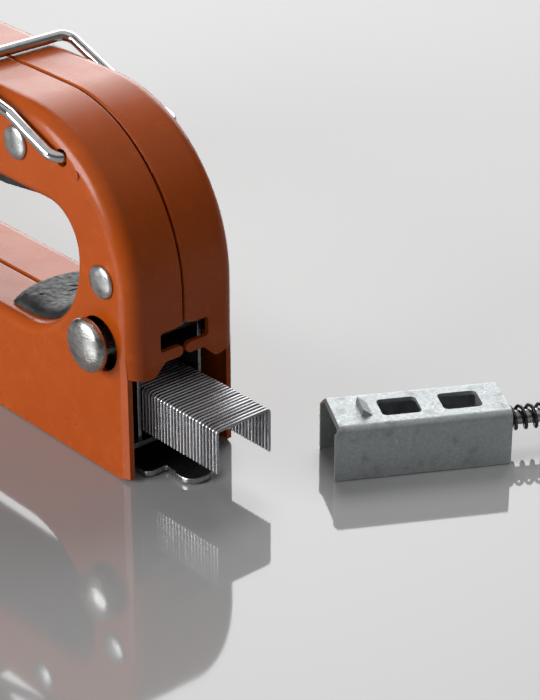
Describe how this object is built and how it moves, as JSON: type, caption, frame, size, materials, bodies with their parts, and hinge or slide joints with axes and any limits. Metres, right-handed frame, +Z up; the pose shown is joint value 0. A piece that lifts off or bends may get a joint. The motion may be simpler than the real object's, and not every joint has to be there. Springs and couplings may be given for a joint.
{
  "type": "manual stapler",
  "caption": "Light-duty hand tacker with pressed-steel body, squeeze lever, wire lock bail, rear-loading magazine and its pusher rod taken out.",
  "frame": {"origin": "staple exit on the centreline of the base plane, at the nose", "axes": "+X runs back from the nose to the loading mouth, -Y is the tool's left side, +Z is up"},
  "size_m": [0.2474, 0.1699, 0.1073],
  "materials": {
    "orange_paint": "gloss",
    "bright_steel": "satin",
    "rivet_steel": "satin",
    "zinc_plate": "satin",
    "dark_steel": "satin",
    "black_rubber": "matte",
    "black_plastic": "textured",
    "chrome_wire": "polished",
    "staple_wire": "bright"
  },
  "bodies": {
    "frame": {"left_shell": "orange_paint", "right_shell": "orange_paint", "shell_rivets": "rivet_steel", "rivet_sleeves": "bright_steel", "rear_pin": "rivet_steel", "magazine_channel": "bright_steel", "magazine_floor": "bright_steel", "staple_rail": "bright_steel", "bottom_plate": "dark_steel", "nose_plate": "bright_steel", "blade_guide": "bright_steel", "bumper": "black_rubber", "spring_cap": "black_plastic", "main_spring": "dark_steel", "lever_pivot_pin": "rivet_steel", "pivot_washers": "bright_steel", "left_heel_insert": "black_plastic", "right_heel_insert": "black_plastic", "grip_liner": "black_plastic"},
    "lever": {"lever": "orange_paint", "lift_studs": "bright_steel"},
    "driver": {"driver_blade": "bright_steel", "plunger": "bright_steel"},
    "bail": {"lock_bail": "chrome_wire"},
    "staples": {"staple_strip": "staple_wire"},
    "rod_set": {"guide_rod": "bright_steel", "rod_catch": "zinc_plate", "pusher_spring": "dark_steel"},
    "pusher": {"pusher": "zinc_plate"}
  },
  "joints": [
    {"name": "lever_squeeze", "type": "hinge", "parent": "frame", "child": "lever", "pos_m": [0.034, 0, 0.062], "axis": [0, 1, 0], "range_deg": [0, 32], "stiffness_Nm_per_rad": 1, "springref_deg": -20.05},
    {"name": "driver_lift", "type": "slide", "parent": "frame", "child": "driver", "axis": [0, 0, 1], "range_m": [0, 0.0149], "deforming": ["main_spring"]},
    {"name": "bail_swing", "type": "hinge", "parent": "frame", "child": "bail", "pos_m": [0.1324, 0, 0.0519], "axis": [0, 1, 0], "range_deg": [0, 210]},
    {"name": "strip_slide", "type": "slide", "parent": "frame", "child": "staples", "axis": [1, 0, 0], "range_m": [-0.114, 0.03]},
    {"name": "rod_set_lift", "type": "slide", "parent": "frame", "child": "rod_set", "axis": [0, 0, 1], "range_m": [0, 0.03]},
    {"name": "pusher_slide", "type": "slide", "parent": "rod_set", "child": "pusher", "axis": [0.4985, 0.8669, 0], "range_m": [0, 0.06], "stiffness_N_per_m": 60, "springref_m": -0.01, "deforming": ["pusher_spring"]}
  ],
  "couplings": [
    {"joint": "driver_lift", "follows": "lever_squeeze", "m_per_rad": 0.026643}
  ]
}
